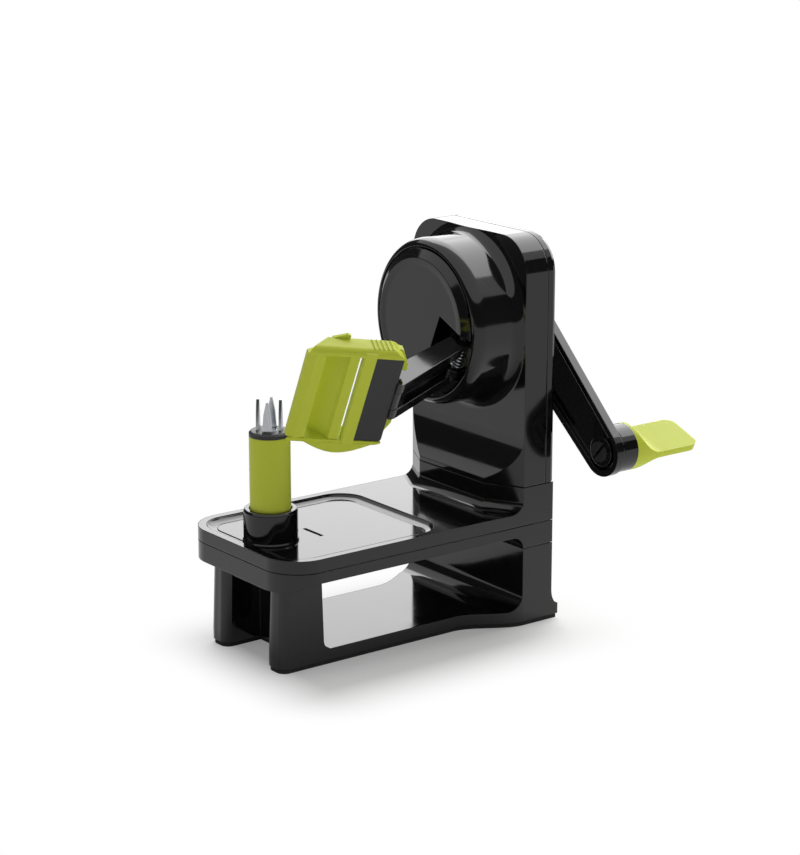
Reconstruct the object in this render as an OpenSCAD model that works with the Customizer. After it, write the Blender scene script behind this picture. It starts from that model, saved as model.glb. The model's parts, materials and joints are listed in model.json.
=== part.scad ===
// Hand-cranked fruit peeler with a vertical spindle and a swinging blade arm.
// Millimetres. +X is to the right seen from the fruit end, +Y runs from the fruit to the crank, +Z is up.
// The origin lies on the table, under the middle of the base.

/* [Base] */
// Width of the base and of the tower
base_w = 78; // [76:0.5:90]
// Length of the base, from the rim to the back of the tower
base_len = 138.6; // [136:0.2:160]
// Corner radius of the base, seen from above
base_r = 16; // [10:0.5:22]
// Height of the seam between pan and cover
seam_z = 45.2; // [44:0.2:60]
// Depth of the pan below the seam
pan_h = 4.6; // [4:0.1:5.5]
// Depth of the front skirt below the pan
skirt_h = 3.6; // [1:0.1:6]
// Height of the cover's rim above the seam
cover_h = 5.8; // [5.4:0.1:9]
// Wall of the moulded shells
wall = 2; // [1.6:0.1:2.4]
// Inset of the tray from the rim
tray_inset = 3.6; // [3:0.1:5]
// Length of the tray
tray_len = 79; // [60:1:90]
// Width of the drip channel round the tray
channel_w = 4.6; // [3:0.1:6]
// Depth of the drip channel
channel_d = 2.5; // [1.8:0.1:2.7]
// Depth of the tray's middle
tray_d = 1.8; // [1:0.1:1.8]
// Height of the riser between base and tower
riser_h = 11.5; // [8:0.5:20]
// Radius of the fillet in front of the riser
riser_r = 5.5; // [3:0.5:8]

/* [Stand] */
// Thickness of the rubber sole
sole_t = 2; // [1:0.1:3]
// Thickness of the floor plate
plate_t = 4.7; // [3:0.1:8]
// Distance from the middle to the outside of the legs
leg_out = 27; // [25:0.5:32]
// Width of a leg
leg_w = 12.3; // [10:0.1:13]
// Depth of a leg
leg_d = 21.7; // [18:0.1:24]
// Distance from the rim to the front of the legs
leg_inset = 4.3; // [3:0.1:7]
// Corner radius of the legs
leg_r = 4.5; // [2:0.1:5]
// Lean of the legs' front and rear faces, which narrows them upwards
leg_draft = 2; // [0.5:0.5:3]
// Thickness of the wall that joins the legs
web_t = 3.9; // [3:0.1:6]
// Length over which the floor plate widens to the pedestal
widen_len = 30; // [20:1:40]
// Drop from the base seam to the top of the pedestal
pedestal_drop = 10.2; // [8:0.2:14]
// Reach of the flared foot behind the pedestal
flare_d = 3.6; // [2:0.1:8]
// Height of the flare
flare_h = 7; // [5:0.5:16]

/* [Tower] */
// Depth of the whole tower
tower_d = 16.3; // [16.3:0.1:22]
// Depth of the tower's rear cover
back_d = 4.5; // [4:0.1:5]
// Radius of the tower's upper corners
tower_r = 16; // [12:0.5:18]
// Height of the tower above the drum axis
tower_rise = 38.7; // [38.5:0.1:44]
// How far the tower's foot stands in front of the tower
foot_out = 8.8; // [7:0.1:10]
// Width of the flat middle of the foot's front
foot_w = 45; // [40:0.5:50]
// Rounding where the middle meets the slanting sides of the foot
foot_r = 1.5; // [0.5:0.1:1.6]
// Height of the foot's front edge above the tower's lower seam
foot_h = 1.9; // [1:0.1:4]
// Height of the hollow sweep from that edge to the tower's face
sweep_h = 19.6; // [14:0.2:24]
// Outer radius of the drum boss
boss_r = 36; // [35.5:0.1:37.5]
// Length of the drum boss
boss_len = 24; // [23:0.1:30]
// Rounding of the boss's front edge
boss_edge = 3.6; // [2:0.1:4]
// Length of the boss's rounded nose
boss_nose = 6; // [3:0.1:8]
// Radius of the opening in the boss
lip_r = 32.1; // [31.5:0.1:32.6]
// Radius of the fillet between boss and tower
boss_fillet = 5.5; // [3:0.1:6]

/* [Gears] */
// Module of the spindle train
train_m = 1.5; // [1.45:0.01:1.52]
// Teeth on the crank gear
crank_teeth = 40; // [36:1:42]
// Teeth on the lower idler
idler_teeth = 30; // [26:1:32]
// Teeth on the drive shaft's pinion
pinion_teeth = 20; // [16:1:22]
// Module of the arm train
motion_m = 0.7; // [0.66:0.01:0.72]
// Teeth on the small gears of the arm train
motion_small = 10; // [10:1:11]
// Teeth on the large gears of the arm train
motion_large = 40; // [36:1:40]
// Module of the miter gears
miter_m = 0.9; // [0.8:0.05:0.95]
// Teeth on each miter gear
miter_teeth = 12; // [12:1:13]
// Play between meshing teeth
backlash = 0.24; // [0.16:0.02:0.3]
// Width of the spindle train's gears
gear_w = 5.2; // [4:0.1:5.6]
// Drop from the base seam to the drive shaft
shaft_drop = 4.3; // [4:0.1:5]
// Radius of the drive shaft
shaft_r = 2.5; // [2:0.1:2.8]
// Radius of the crank shaft
crank_shaft_r = 4.5; // [4.3:0.1:5]

/* [Spindle] */
// Distance from the rim to the spindle
spindle_inset = 18.2; // [17:0.1:24]
// Radius of the spindle tube
tube_r = 8.6; // [7:0.1:8.8]
// Length of the tube that shows above the collar
tube_len = 31; // [20:0.5:34]
// Radius of the collar
collar_r = 11.4; // [10.6:0.1:12]
// Height of the collar
collar_h = 14; // [12.5:0.5:18]
// Radius of the spindle's shaft
spindle_r = 3; // [2.5:0.1:3.4]
// Height of the fork's hub
fork_h = 2.2; // [2:0.1:4]
// Length of the prongs
prong_len = 13; // [8:0.5:14]
// Number of prongs
prong_count = 4; // [3:1:5]

/* [Drum and arm] */
// Angle of the arm above the horizontal, as it stands
rest_angle = -24; // [-24:1:60]
// Radius of the carrier's rim
carrier_r = 31.6; // [31:0.1:31.6]
// Radius of the carrier's flat face
face_r = 28; // [25:0.5:30]
// How far the face stands in front of the boss
face_out = 2.4; // [1.5:0.1:4]
// Distance of the arm's hinge from the drum axis
hinge_r = 24.4; // [24:0.1:25]
// Radius of the arm's hinge pin
pin_r = 2; // [1.6:0.1:2.1]
// Radius of the arm's knuckles
knuckle_r = 4.2; // [3.8:0.1:4.3]
// Width of the arm
arm_w = 17; // [15:0.5:18]
// Thickness of the arm's knuckles beside the spring
knuckle_t = 2.2; // [2:0.1:2.4]
// Thickness of the arm's ribs
rib_t = 4.4; // [3.4:0.1:5]
// Wire of the arm's spring
wire_d = 0.9; // [0.8:0.05:0.95]
// Turns of the arm's spring
spring_turns = 7; // [3:1:7]

/* [Blade head] */
// Distance from the drum axis to the head's outer face, at the guide bar
head_r = 33.6; // [33:0.1:40]
// How far the head's zero line lies in front of the spindle
head_ahead = 3.8; // [2:0.1:6]
// Angle of the head across the drum axis
head_angle = 20; // [15:0.5:22]
// Height of the head
head_h = 47; // [44:0.5:48]
// Length of the head behind its zero line
head_len = 37.5; // [36:0.5:40]
// Width of the guide bar in front of the zero line
guide_w = 2.9; // [2:0.1:4]
// Depth of the head's rails
rail_d = 10; // [8:0.2:10.5]
// Thickness of the head's rails
rail_t = 3; // [2.5:0.1:4]
// Width of the mouth between the guide bar and the cutting edge
mouth_w = 2.8; // [2.4:0.1:3.6]
// Width of the slit behind the ramp
slit_w = 1.6; // [1.2:0.1:2.4]
// Thickness of the blade
blade_t = 0.7; // [0.5:0.05:1]

/* [Crank] */
// Distance from the crank's axis to the grip
throw = 78.5; // [60:0.5:82]
// Angle of the crank above the horizontal, as it stands
crank_angle = -42; // [-80:1:80]
// Radius of the crank arm at the hub
hub_r = 14; // [12:0.5:16]
// Radius of the crank arm at the grip
end_r = 11; // [9:0.5:12]
// Thickness of the crank arm
crank_t = 4; // [3.8:0.1:7]
// Gap between the tower and the crank arm
crank_gap = 9.6; // [8:0.1:14]
// Radius of the grip's sleeve
grip_r = 10.3; // [9:0.1:11]
// Length of the grip's sleeve
sleeve_len = 8; // [6:0.5:10]
// Length of the paddle
paddle_len = 37; // [28:0.5:42]
// Thickness of the paddle's blade
paddle_t = 2.8; // [2.2:0.1:5]
// Tilt of the paddle
paddle_tilt = 21; // [0:1:90]

/* [Fits] */
// Radial play of turning fits
play = 0.05; // [0.03:0.01:0.08]
// Gap beside pieces that move past each other
gap = 0.4; // [0.3:0.05:0.5]
// Width of the shadow gaps along the seams
seam_w = 0.3; // [0.2:0.05:0.4]
// Depth of the shadow gaps
seam_d = 0.8; // [0.5:0.1:1]

/* [Hidden] */
$fn = 64;

BLACK = "#1b1b1c";
MATTE_BLACK = "#2c2c2f";
LIME = "#b4c23a";
STEEL = "#c4c7ca";
BRASS = "#c9a352";
NYLON = "#e6e2d6";
RUBBER = "#202020";

// Places along Y
front_y = -base_len / 2;
back_y = base_len / 2;
tower_y = back_y - tower_d;
split_y = back_y - back_d;
spindle_y = front_y + spindle_inset;
boss_y = tower_y - boss_len;
face_y = boss_y - face_out;
foot_y = tower_y - foot_out;
leg_front = front_y + leg_inset;
leg_y = leg_front + leg_d / 2;
web_y = leg_front + leg_d - web_t;
crank_y = back_y + crank_gap;

// Heights
plate_top = sole_t + plate_t;
pan_z = seam_z - pan_h;
pedestal_z = seam_z - pedestal_drop;
rim_z = seam_z + cover_h;
tray_z = rim_z - tray_d;
tower_z = rim_z + riser_h;
sweep_z = tower_z + foot_h + sweep_h;
shaft_z = seam_z - shaft_drop;
idler_z = shaft_z + train_m * (pinion_teeth + idler_teeth) / 2;
axis_z = idler_z + train_m * (idler_teeth + crank_teeth) / 2;
motion_c = motion_m * (motion_small + motion_large) / 2;
top_z = axis_z + tower_rise;
collar_z = tray_z + collar_h;
tube_z = collar_z + tube_len;

// Gear layers along Y
plate_back = tower_y + 2 * wall;
gear_y = plate_back + 2;
motion_y = tower_y - 3.4;
motion_w = 4.2;
drum_gear_y = motion_y - 5.6;
drum_gear_w = 4;

// Miter gears: both pitch cones meet where the two axes cross
miter_r = miter_m * miter_teeth / 2;
miter_face = 2;
miter_hub = 3.2;
miter_hub_r = miter_r - 1.4 * miter_m;
bush_r = shaft_drop - 0.2;
spine_w = 24;
spine_z = shaft_z - miter_r - miter_m - gap - 1.8;
spine_y = spindle_y - 11;

// Hinge and head, in the frame that turns with the drum
hinge_y = face_y + 4.2;
head_y = spindle_y - head_ahead;
slot_w = arm_w + 2 * gap + 2.8;
slot_in = 10;
lug_t = 3.4;
bar_end = 25.7;
guide_end = 4.7;

// Ramp that leads the peel from the cutting edge out of the head
edge_r = 2.2 - rail_d;
edge_l = guide_end + mouth_w;
ramp_r = -2.6;
ramp_l = 14;
ramp_t = 1.6;
ramp_len = norm([ramp_r - edge_r, ramp_l - edge_l]);
ramp_slope = atan2(ramp_r - edge_r, ramp_l - edge_l);
slit_l = bar_end - 5.3 - slit_w;
function on_ramp(out, along) = [edge_r + out * cos(ramp_slope) + along * sin(ramp_slope),
  edge_l - out * sin(ramp_slope) + along * cos(ramp_slope)];

// The foot's sides slant back from the flat middle to the tower's corners
foot_slant = atan2(foot_out, (base_w - foot_w) / 2);
sweep_r = (sweep_h * sweep_h + foot_out * foot_out) / (2 * foot_out);

// Points of an arc, from angle a to angle b
function arc(c, r, a, b, n = 12) =
  [for (i = [0:n]) c + r * [cos(a + (b - a) * i / n), sin(a + (b - a) * i / n)]];

// Outline of a bar with round ends of two radii, from the origin along +X
function bar_outline(r1, r2, len, n = 24) =
  let (t = acos((r1 - r2) / len))
  concat(arc([0, 0], r1, t, 360 - t, n), arc([len, 0], r2, -t, t, n));

// Involute gear outline. Tooth 0 is centred on angle phase.
function inv(a) = tan(a) * 180 / PI - a;
function half_tooth(r, m, z) =
  let (rp = m * z / 2, rb = rp * cos(20), ar = acos(min(1, rb / max(r, rb))))
  90 / z - backlash / 2 / rp * 180 / PI + inv(20) - inv(ar);
function tooth_radii(m, z) =
  let (rp = m * z / 2)
  [rp - 1.25 * m, max(rp * cos(20), rp - 0.8 * m), rp, rp + 0.5 * m, rp + 0.9 * m];
function gear_outline(m, z, phase) =
  [for (i = [0:z - 1], side = [-1, 1], k = [0:4])
    let (j = side < 0 ? k : 4 - k, r = tooth_radii(m, z)[j],
      a = phase + 360 / z * i + side * half_tooth(r, m, z))
    r * [cos(a), sin(a)]];

// Phase of a gear that meshes at angle dir with a gear of z1 teeth at phase p1
function frac(x) = x - floor(x);
function mesh_phase(z1, p1, z2, dir) = dir + 180 + (frac((dir - p1) * z1 / 360) + 0.5) * 360 / z2;

// Seen along +Y with X to the right, the outline's second axis points up
module along_y(y, len) {
  translate([0, y + len, 0]) rotate([90, 0, 0]) linear_extrude(len) children();
}

// A profile in the Y and Z plane, drawn along X and centred
module across(w) {
  translate([-w / 2, 0, 0]) rotate([90, 0, 90]) linear_extrude(w) children();
}

module rod_y(r, y0, y1, z = 0) {
  translate([0, y0, z]) rotate([-90, 0, 0]) cylinder(r = r, h = y1 - y0);
}

module ring_y(r_out, r_in, y0, y1, z = 0) {
  difference() {
    rod_y(r_out, y0, y1, z);
    rod_y(r_in, y0 - 1, y1 + 1, z);
  }
}

module box(x0, x1, y0, y1, z0, z1) {
  translate([x0, y0, z0]) cube([x1 - x0, y1 - y0, z1 - z0]);
}

module round_rect(w, l, r) {
  square([w - 2 * r, l], center = true);
  square([w, l - 2 * r], center = true);
  for (x = [-1, 1], y = [-1, 1]) translate([x * (w / 2 - r), y * (l / 2 - r)]) circle(r);
}

// Base seen from above: round corners at the fruit end only
module base_plan(inset) {
  translate([-base_w / 2 + inset, front_y + base_r]) square([base_w - 2 * inset, base_len - base_r - inset]);
  translate([-base_w / 2 + base_r, front_y + inset]) square([base_w - 2 * base_r, base_r]);
  for (x = [-1, 1]) translate([x * (base_w / 2 - base_r), front_y + base_r]) circle(base_r - inset);
}

// Tower seen from the front: round corners at the top only
module tower_plan(inset, low) {
  r = tower_r - inset;
  half = base_w / 2 - inset;
  translate([-half, low]) square([2 * half, top_z - tower_r - low]);
  translate([-base_w / 2 + tower_r, low]) square([base_w - 2 * tower_r, top_z - inset - low]);
  for (x = [-1, 1]) translate([x * (base_w / 2 - tower_r), top_z - tower_r]) circle(r);
}

// Room for the gears inside the tower and pedestal
module gear_room(z0, z1) {
  box(-base_w / 2 + wall, base_w / 2 - wall, tower_y + wall, back_y - wall, z0, z1);
}

module drum_frame() {
  translate([0, 0, axis_z]) rotate([0, -rest_angle, 0]) children();
}

// In the head's frame X points out of the face, Y runs from the guide bar to the arm and Z is up
module head_frame() {
  drum_frame() translate([head_r, head_y, 0]) rotate([0, 0, -head_angle]) children();
}

// A screw pointing along -Z with its head's top at the origin
module screw(shank_r, head_r, len) {
  head_t = 0.8 * head_r;
  difference() {
    union() {
      translate([0, 0, -head_t]) cylinder(r = head_r, h = head_t);
      translate([0, 0, -len]) cylinder(r = shank_r, h = len);
    }
    for (a = [0, 90]) rotate(a) translate([-head_r * 0.6, -head_r * 0.14, -head_t / 2])
      cube([head_r * 1.2, head_r * 0.28, head_t]);
  }
}

// Foot of the tower seen from above, set in by the given amount and reaching back to y
function foot_outline(inset, y) =
  let (half = base_w / 2 - inset, side_y = tower_y + inset / cos(foot_slant) - inset * tan(foot_slant),
    r = max(0.1, foot_r - inset), x = foot_w / 2 - (inset + r) * tan(foot_slant / 2),
    mid_y = foot_y + inset + r)
  concat([[half, y], [-half, y], [-half, side_y]], arc([-x, mid_y], r, 270 - foot_slant, 270, 4),
    arc([x, mid_y], r, 270, 270 + foot_slant, 4), [[half, side_y]]);

// Lower part of the tower, hollowed in front by a sweep that meets the tower's face
module tower_foot(inset) {
  back = tower_y + inset + 1;
  low = tower_z - inset - 1;
  intersection() {
    translate([0, 0, tower_z - inset]) linear_extrude(sweep_z - tower_z + inset + 1)
      polygon(foot_outline(inset, back));
    across(base_w) polygon(concat([[back, low], [foot_y - 2, low]],
      arc([tower_y - sweep_r, sweep_z], sweep_r + inset, -asin(sweep_h / sweep_r) - 4, 0, 16),
      [[back, sweep_z]]));
  }
}

// Hollow fillet between the deck and the riser, along the three sides of the foot.
// Its thin edges sink into both.
module riser_fillet() {
  sink = 0.05;
  out = riser_r - sink;
  up = rim_z + riser_r - sink;
  module hollow() {
    across(3 * base_w) mirror([1, 0]) polygon(concat([[-sink, up + 1]], arc([out, up], riser_r, 180, 270),
      [[2 * base_w, rim_z - sink], [2 * base_w, up + 1]]));
  }
  difference() {
    box(-base_w / 2, base_w / 2, foot_y - riser_r, tower_y + 1, rim_z - 1, up);
    translate([0, foot_y, 0]) hollow();
    for (x = [0, 1]) mirror([x, 0, 0]) translate([foot_w / 2, foot_y, 0]) rotate(foot_slant) hollow();
  }
}

// Footprint of the stand: legs, floor plate and pedestal, with a flowing widening between plate and pedestal
module stand_plan(inset) {
  half = leg_out - inset;
  wide = base_w / 2 - inset;
  from = tower_y + 1 - widen_len + inset;
  curve = [for (i = [0:16]) [half + (wide - half) * (1 - cos(11.25 * i)) / 2, from + widen_len * i / 16]];
  translate([-half, web_y + inset]) square([2 * half, back_y - web_y - 2 * inset]);
  translate([-wide, tower_y + inset]) square([2 * wide, tower_d + flare_d - 2 * inset]);
  polygon(concat(curve, [for (i = [16:-1:0]) [-curve[i][0], curve[i][1]]]));
  for (x = [-1, 1]) translate([x * (leg_out - leg_w / 2), 0]) {
    leg_plan(inset);
    translate([inset - leg_w / 2, leg_y]) square([leg_w - 2 * inset, web_y + 1 + inset - leg_y]);
  }
}

// A leg seen from above, about X = 0: round at the front, square where it meets the floor plate
module leg_plan(inset) {
  translate([0, leg_y]) round_rect(leg_w - 2 * inset, leg_d - 2 * inset, leg_r - inset);
  translate([inset - leg_w / 2, leg_y]) square([leg_w - 2 * inset, leg_d / 2 - inset]);
}

module rubber_sole() {
  color(RUBBER) linear_extrude(sole_t) stand_plan(0.6);
}

module stand() {
  blend_r = 8;
  leg_blend = 4;
  blend_z = plate_top + leg_blend;
  function leg_back(z) = leg_front + leg_d - z * tan(leg_draft);
  color(BLACK) difference() {
    union() {
      translate([0, 0, sole_t]) linear_extrude(plate_t) stand_plan(0);
      for (x = [-1, 1]) translate([x * (leg_out - leg_w / 2), 0, 0]) {
        intersection() {
          translate([0, leg_front, 0]) rotate([-leg_draft, 0, 0]) translate([0, leg_d * 0.4, -5])
            linear_extrude(pan_z + 10) round_rect(leg_w - play, leg_d * 0.8, leg_r);
          box(-leg_w, leg_w, front_y, leg_y + 1, sole_t, pan_z);
        }
        across(leg_w) polygon([[leg_y, sole_t], [leg_y, pan_z],
          [leg_back(pan_z), pan_z], [leg_back(sole_t), sole_t]]);
      }
      across(2 * leg_out) polygon(concat([[web_y, sole_t], [web_y, pan_z], [leg_back(pan_z), pan_z]],
        arc([leg_back(blend_z) + leg_blend, blend_z], leg_blend, 180, 270),
        [[leg_back(blend_z) + leg_blend, sole_t]]));
      box(-base_w / 2, base_w / 2, tower_y, back_y, sole_t, pedestal_z);
      intersection() {
        linear_extrude(pedestal_z) stand_plan(0);
        across(base_w) polygon(concat([[tower_y + 1, sole_t], [tower_y - blend_r, sole_t]],
          arc([tower_y - blend_r, plate_top + blend_r], blend_r, -90, 0),
          [[tower_y + 1, plate_top + blend_r]]));
      }
      across(base_w) polygon(concat([[back_y - 1, plate_top], [back_y - 1, plate_top + flare_h]],
        [for (i = [0:10]) [back_y + flare_d * (1 - cos(9 * i)), plate_top + flare_h * (1 - sin(9 * i))]]));
    }
    gear_room(plate_top, pedestal_z + 1);
    box(-spine_w / 2 - play, spine_w / 2 + play, web_y - 1, tower_y - 10, spine_z - play, pan_z + 1);
    for (x = [-1, 1]) translate([x * (leg_out - leg_w / 2), leg_y, pan_z - 12]) cylinder(r = 1.25, h = 13);
  }
}

module base_pan() {
  rib_y = spindle_y + 12;
  color(BLACK) difference() {
    union() {
      translate([0, 0, pan_z]) linear_extrude(pan_h) base_plan(0);
      difference() {
        translate([0, 0, pan_z - skirt_h]) linear_extrude(skirt_h) difference() {
          base_plan(0);
          base_plan(wall + 0.2);
        }
        across(base_w + 2) polygon(concat(
          [for (i = [0:12]) [front_y + 1.5 + i, pan_z - skirt_h * (1 + cos(15 * i)) / 2]],
          [[back_y + 1, pan_z], [back_y + 1, pan_z - skirt_h - 1], [front_y + 1.5, pan_z - skirt_h - 1]]));
      }
      box(-base_w / 2, base_w / 2, tower_y, back_y, pedestal_z, seam_z);
      across(base_w) polygon(concat([[tower_y + 1, pedestal_z]],
        arc([tower_y - pan_z + pedestal_z, pedestal_z], pan_z - pedestal_z, 0, 90),
        [[tower_y - pan_z + pedestal_z, pan_z + 1], [tower_y + 1, pan_z + 1]]));
      box(-spine_w / 2, spine_w / 2, spine_y, tower_y, spine_z, pan_z + 1);
      box(-spine_w / 2, spine_w / 2, tower_y - 1, tower_y + 1, pedestal_z, pan_z + 1);
    }
    difference() {
      union() {
        translate([0, 0, pan_z + wall]) linear_extrude(pan_h) intersection() {
          base_plan(wall);
          translate([-base_w, front_y]) square([2 * base_w, tower_y - front_y]);
        }
        box(-spine_w / 2 + wall, spine_w / 2 - wall, spine_y + wall, tower_y, spine_z + 1.8, seam_z);
      }
      box(-spine_w / 2, spine_w / 2, rib_y, rib_y + 4, spine_z, seam_z);
    }
    gear_room(pedestal_z - 1, seam_z + 1);
    difference() {
      box(-base_w, base_w, tower_y - 1, back_y + 1, pedestal_z - 1, pedestal_z + seam_w);
      translate([0, (tower_y + back_y) / 2, pedestal_z])
        cube([base_w - 2 * seam_d, tower_d - 2 * seam_d, 4], center = true);
    }
    rod_y(bush_r, rib_y - 1, rib_y + 5, shaft_z);
    rod_y(bush_r, tower_y - 1, tower_y + wall + 1, shaft_z);
    for (x = [-1, 1]) translate([x * (leg_out - leg_w / 2), leg_y, pan_z - 1])
      cylinder(r = 1.6, h = wall + 2);
  }
}

module base_cover() {
  tray_w = base_w - 2 * tray_inset;
  tray_r = base_r - tray_inset;
  tray_y = front_y + tray_inset + tray_len / 2;
  under = cover_h - channel_d - wall;
  color(BLACK) difference() {
    union() {
      translate([0, 0, seam_z]) linear_extrude(cover_h) base_plan(0);
      translate([0, 0, seam_z]) linear_extrude(tower_z - seam_z) polygon(foot_outline(0, back_y));
      riser_fillet();
    }
    translate([0, tray_y, rim_z - channel_d]) linear_extrude(cover_h) difference() {
      round_rect(tray_w, tray_len, tray_r);
      round_rect(tray_w - 2 * channel_w, tray_len - 2 * channel_w, tray_r - channel_w);
    }
    translate([0, tray_y, tray_z]) linear_extrude(cover_h)
      round_rect(tray_w - channel_w, tray_len - channel_w, tray_r - channel_w / 2);
    translate([0, 0, seam_z - 1]) linear_extrude(under + 1) intersection() {
      base_plan(wall);
      translate([-base_w, front_y]) square([2 * base_w, tower_y - front_y]);
    }
    translate([2, spindle_y + 20, tray_z]) cube([13, 1.6, 1.6], center = true);
    translate([0, spindle_y, seam_z - 1]) cylinder(r = collar_r - 1.3, h = cover_h + 2);
    translate([0, 0, seam_z - 1]) linear_extrude(tower_z - seam_z + 2)
      polygon(foot_outline(wall, back_y - wall));
    translate([0, 0, seam_z - 1]) linear_extrude(1 + seam_w) difference() {
      base_plan(-1);
      base_plan(seam_d);
    }
    translate([0, 0, tower_z - seam_w]) linear_extrude(1) difference() {
      base_plan(-1);
      polygon(foot_outline(seam_d, back_y - seam_d));
    }
  }
}

module spindle_collar() {
  color(BLACK) translate([0, spindle_y, 0]) rotate_extrude()
    polygon(concat([[collar_r - 1.3, tray_z], [collar_r + 0.4, tray_z], [collar_r + 0.4, tray_z + 0.5]],
      [[collar_r, tray_z + 1.2], [collar_r, collar_z - 1], [collar_r - 0.6, collar_z],
        [tube_r + gap, collar_z]],
      [[tube_r + gap, collar_z - 4], [collar_r - 1.3, collar_z - 4]]));
}

module spindle_bush() {
  color(BRASS) translate([0, spindle_y, tray_z + 3]) difference() {
    cylinder(r = collar_r - 1.3, h = collar_h - 9);
    translate([0, 0, -1]) cylinder(r = spindle_r + play, h = collar_h);
  }
}

module shaft_bush(y0, len) {
  ring_y(bush_r, shaft_r + play, y0, y0 + len, shaft_z);
}

module front_shaft_bush() {
  color(BRASS) shaft_bush(spindle_y + 12, 4);
}

module rear_shaft_bush() {
  color(BRASS) shaft_bush(tower_y - 0.6, wall + 1.2);
}

POSTS = [[-1, axis_z + 31], [1, axis_z + 31], [-1, tower_z + 8], [1, tower_z + 8]];
post_x = base_w / 2 - 7.5;

module tower_front() {
  inner = boss_r - wall;
  color(BLACK) difference() {
    union() {
      along_y(tower_y, tower_d - back_d) tower_plan(0, tower_z);
      tower_foot(0);
      intersection() {
        translate([0, 0, axis_z]) rotate([-90, 0, 0]) rotate_extrude() polygon(concat([[0, boss_y]],
          [for (i = [0:12]) [boss_r - boss_edge * (1 - sin(7.5 * i)),
            boss_y + boss_nose * (1 - cos(7.5 * i))]],
          arc([boss_r + boss_fillet, tower_y - boss_fillet], boss_fillet, 180, 90),
          [[boss_r + boss_fillet, tower_y + 1], [0, tower_y + 1]]));
        box(-base_w / 2, base_w / 2, boss_y - 1, tower_y + 2, tower_z, top_z);
      }
    }
    difference() {
      union() {
        along_y(tower_y + wall, tower_d) tower_plan(wall, tower_z - 1);
        tower_foot(wall);
      }
      for (p = POSTS) translate([p[0] * post_x, 0, 0]) rod_y(3, foot_y, split_y, p[1]);
      rod_y(5, tower_y, gear_y - gap, idler_z);
    }
    rod_y(inner, boss_y + 2.5, tower_y + wall + 1, axis_z);
    rod_y(lip_r, boss_y - 1, tower_y, axis_z);
    translate([0, boss_y - 0.01, axis_z]) rotate([-90, 0, 0]) cylinder(r1 = lip_r + 0.6, r2 = lip_r, h = 0.6);
    rod_y(shaft_r, tower_y + 1, gear_y, idler_z);
    for (p = POSTS) translate([p[0] * post_x, 0, 0]) rod_y(1.3, tower_y + wall, split_y + 1, p[1]);
    for (a = [60, 120, 240, 300]) translate([(inner + 1.8) * cos(a), 0, 0])
      rod_y(0.9, tower_y - 1.5, tower_y + wall + 1, axis_z + (inner + 1.8) * sin(a));
  }
}

module tower_back() {
  boss_out = crank_gap - 4.2;
  color(BLACK) difference() {
    union() {
      hull() {
        along_y(split_y, back_d - 1.5) tower_plan(0, tower_z);
        along_y(back_y - 0.2, 0.2) tower_plan(0.8, tower_z);
      }
      rod_y(crank_shaft_r + 7, back_y - 1, back_y + boss_out, axis_z);
    }
    difference() {
      along_y(split_y - 1, back_d - wall + 1) tower_plan(wall, tower_z - 1);
      rod_y(crank_shaft_r + 3.5, gear_y + gear_w + gap, back_y, axis_z);
      for (p = POSTS) translate([p[0] * post_x, 0, 0]) rod_y(3, split_y, back_y, p[1]);
    }
    along_y(split_y - 1, 1 + seam_w) difference() {
      tower_plan(-1, tower_z - 1);
      tower_plan(seam_d, tower_z - 2);
    }
    rod_y(crank_shaft_r + 2, split_y - 2, back_y + boss_out + 1, axis_z);
    for (p = POSTS) translate([p[0] * post_x, 0, 0]) {
      rod_y(1.6, split_y - 1, back_y + 1, p[1]);
      rod_y(2.6, back_y - 2, back_y + 1, p[1]);
    }
  }
}

module tower_screws() {
  color(STEEL) for (p = POSTS) translate([p[0] * post_x, back_y - 0.2, p[1]])
    rotate([-90, 0, 0]) screw(1.25, 2.2, tower_d - wall - 3);
}

module leg_screws() {
  color(STEEL) for (x = [-1, 1]) translate([x * (leg_out - leg_w / 2), leg_y, pan_z + wall + 1.6])
    screw(1.2, 2, 12);
}

module gear_plate() {
  inner = boss_r - wall;
  color(NYLON) difference() {
    intersection() {
      rod_y(inner + 3.5, tower_y + wall, plate_back, axis_z);
      box(-base_w / 2 + wall + 0.5, base_w / 2 - wall - 0.5, tower_y, back_y, tower_z, top_z - wall - 0.5);
    }
    rod_y(crank_shaft_r + 2, tower_y, back_y, axis_z);
    rod_y(1.5, tower_y, back_y, axis_z - motion_c);
    for (a = [60, 120, 240, 300]) translate([(inner + 1.8) * cos(a), 0, 0])
      rod_y(1.1, tower_y, back_y, axis_z + (inner + 1.8) * sin(a));
  }
}

module plate_screws() {
  inner = boss_r - wall;
  color(STEEL) for (a = [60, 120, 240, 300])
    translate([(inner + 1.8) * cos(a), plate_back + 1.3, axis_z + (inner + 1.8) * sin(a)])
    rotate([-90, 0, 0]) screw(0.85, 1.6, wall + 3.4);
}

module front_crank_bush() {
  color(BRASS) ring_y(crank_shaft_r + 2, crank_shaft_r + play, tower_y + wall - 0.3, plate_back + 0.6, axis_z);
}

module rear_crank_bush() {
  color(BRASS) ring_y(crank_shaft_r + 2, crank_shaft_r + play, gear_y + gear_w + gap, back_y + crank_gap - 4,
    axis_z);
}

module lower_axle() {
  color(STEEL) rod_y(shaft_r, tower_y + 1, gear_y + gear_w + 1.5, idler_z);
}

module motion_axle() {
  color(STEEL) union() {
    rod_y(1.5, drum_gear_y - 1.6, plate_back, axis_z - motion_c);
    rod_y(2.3, drum_gear_y - 1.6, drum_gear_y - 0.6, axis_z - motion_c);
  }
}

// Gears on axes along Y. Angles are seen from the fruit end, with 0 along +X.
module gear_y_axis(m, z, phase, y0, w) {
  along_y(y0, w) polygon(gear_outline(m, z, phase));
}

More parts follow.
